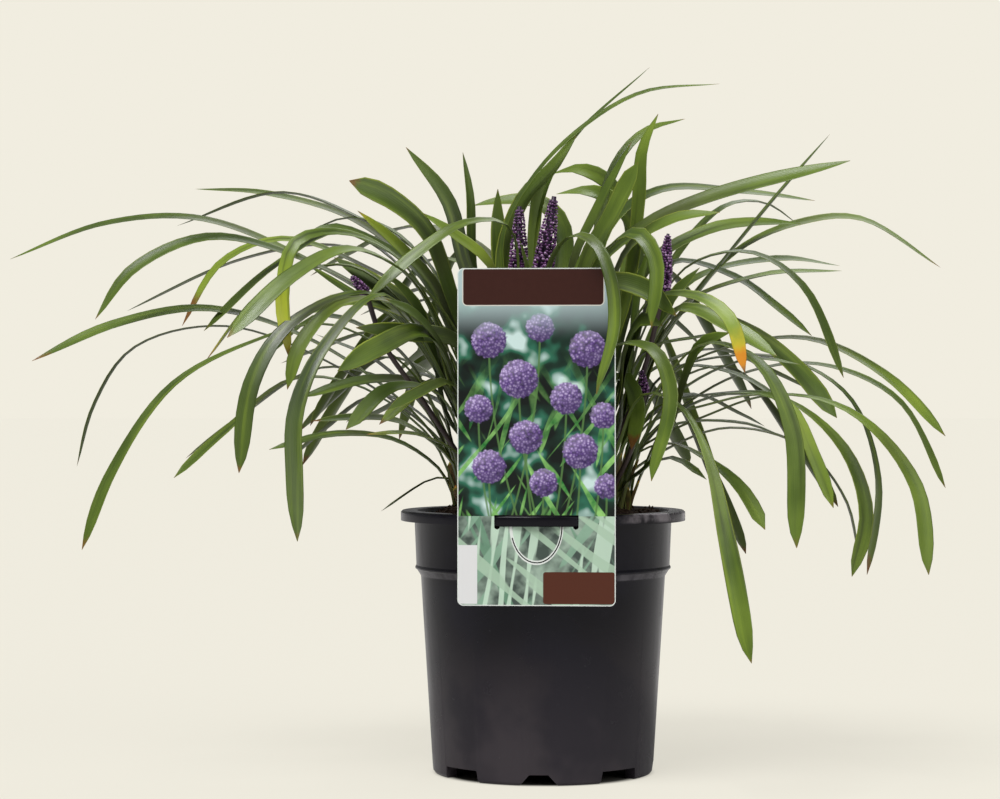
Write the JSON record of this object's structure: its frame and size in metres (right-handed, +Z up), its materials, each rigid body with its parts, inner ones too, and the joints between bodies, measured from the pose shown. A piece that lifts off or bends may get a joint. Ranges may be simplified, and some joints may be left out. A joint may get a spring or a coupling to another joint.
{
  "type": "potted liriope",
  "caption": "Flowering lilyturf with arching strap leaves and short purple flower spikes, in a round nursery pot of soil with a plant card hung on its rim.",
  "frame": {"origin": "middle of the pot's foot, on the surface that it stands on", "axes": "+Z up, -Y towards the side that the plant card faces, +X to the right as seen from that side"},
  "size_m": [0.5785, 0.4022, 0.4262],
  "materials": {
    "pot_plastic": "moulded black plastic, satin, lightly scuffed",
    "soil": null,
    "leaf": null,
    "flower_stem": "smooth dark purple stem",
    "floret": "waxy purple buds",
    "card": "printed, satin-laminated plastic sheet"
  },
  "bodies": {
    "root": {"pot": "pot_plastic", "soil": "soil", "plant_card": "card", "tuft_left": "leaf", "tuft_left_front": "leaf", "tuft_front_left": "leaf", "tuft_front": "leaf", "tuft_front_right": "leaf", "tuft_right_front": "leaf", "tuft_right": "leaf", "tuft_right_back": "leaf", "tuft_back_right": "leaf", "tuft_back": "leaf", "tuft_back_left": "leaf", "tuft_left_back": "leaf", "tuft_middle": "leaf", "flower_stem_1": "flower_stem", "flower_head_1": "floret", "flower_stem_2": "flower_stem", "flower_head_2": "floret", "flower_stem_3": "flower_stem", "flower_head_3": "floret", "flower_stem_4": "flower_stem", "flower_head_4": "floret", "flower_stem_5": "flower_stem", "flower_head_5": "floret"}
  },
  "joints": []
}
